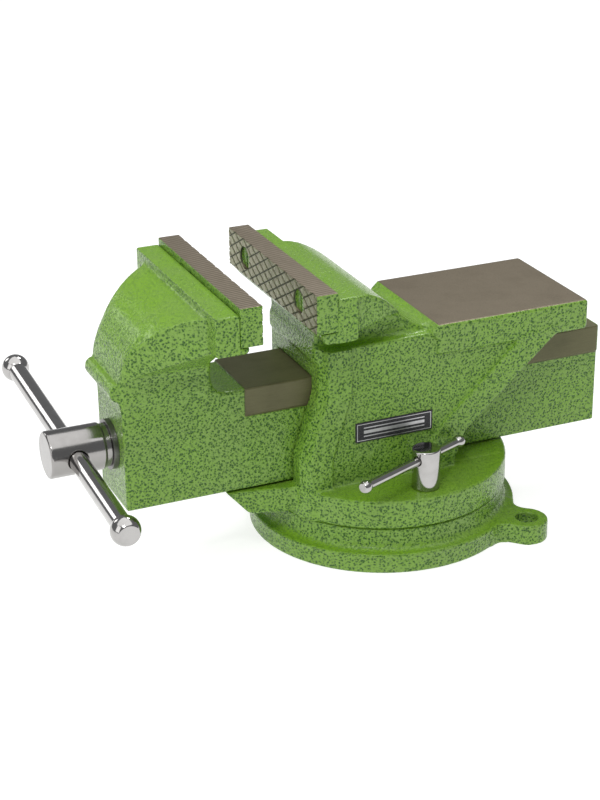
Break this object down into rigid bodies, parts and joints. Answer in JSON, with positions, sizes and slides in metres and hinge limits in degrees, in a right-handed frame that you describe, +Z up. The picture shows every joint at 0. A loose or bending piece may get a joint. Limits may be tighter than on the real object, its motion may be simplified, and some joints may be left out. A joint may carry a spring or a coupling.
{
  "type": "bench vise",
  "caption": "Swivel-base bench vise with knurled jaws, an anvil, a screw spindle with a sliding handle and two swivel locks.",
  "frame": {"origin": "on the swivel axis, in the plane of the bench under the base flange", "axes": "+X along the spindle from the handle towards the rear of the slide, +Z up, +Y across the jaws"},
  "size_m": [0.3962, 0.2563, 0.2005],
  "materials": {
    "green_paint": "hammered gloss paint",
    "machined_iron": "machined",
    "steel": "turned",
    "bright_chrome": "polished",
    "label": "printed"
  },
  "bodies": {
    "base": {"swivel_base": "green_paint"},
    "vise": {"fixed_body": "green_paint", "fixed_jaw_plate": "machined_iron", "fixed_jaw_screws": "green_paint", "spindle_nut": "machined_iron", "nut_bolts": "steel", "nut_washers": "steel", "swivel_studs": "steel", "nameplate": "label"},
    "jaw": {"moving_jaw": "green_paint", "moving_jaw_plate": "machined_iron", "moving_jaw_screws": "green_paint"},
    "screw": {"spindle": "steel", "spindle_head": "bright_chrome", "thrust_washer": "steel", "spindle_spring": "steel", "retaining_collar": "steel", "collar_pin": "steel"},
    "handle": {"handle_bar": "bright_chrome"},
    "lock_near": {"lock_nut_near": "bright_chrome"},
    "lock_far": {"lock_nut_far": "bright_chrome"},
    "bar_near": {"lock_bar_near": "bright_chrome"},
    "bar_far": {"lock_bar_far": "bright_chrome"}
  },
  "joints": [
    {"name": "swivel", "type": "hinge", "parent": "base", "child": "vise", "pos_m": [0, 0, 0.04], "axis": [0, 0, 1], "continuous": true},
    {"name": "jaw_slide", "type": "slide", "parent": "vise", "child": "jaw", "axis": [1, 0, 0], "range_m": [-0.112, 0.035]},
    {"name": "spindle_turn", "type": "hinge", "parent": "jaw", "child": "screw", "pos_m": [-0.19, 0, 0.091], "axis": [1, 0, 0], "range_deg": [-6730, 2110]},
    {"name": "handle_slide", "type": "slide", "parent": "screw", "child": "handle", "axis": [0, 0.9982, 0.0593], "range_m": [-0.108, 0.084]},
    {"name": "lock_near_turn", "type": "hinge", "parent": "vise", "child": "lock_near", "pos_m": [0, -0.0696, 0.06], "axis": [0, 0, 1], "range_deg": [-31, 1]},
    {"name": "lock_far_turn", "type": "hinge", "parent": "vise", "child": "lock_far", "pos_m": [0, 0.0696, 0.06], "axis": [0, 0, 1], "range_deg": [-1, 31]},
    {"name": "bar_near_slide", "type": "slide", "parent": "lock_near", "child": "bar_near", "axis": [0.9219, 0.3875, 0], "range_m": [-0.02, 0.003]},
    {"name": "bar_far_slide", "type": "slide", "parent": "lock_far", "child": "bar_far", "axis": [0.9219, -0.3875, 0], "range_m": [-0.02, 0.003]}
  ],
  "couplings": [
    {"joint": "spindle_turn", "follows": "jaw_slide", "rad_per_m": 1047.2}
  ]
}
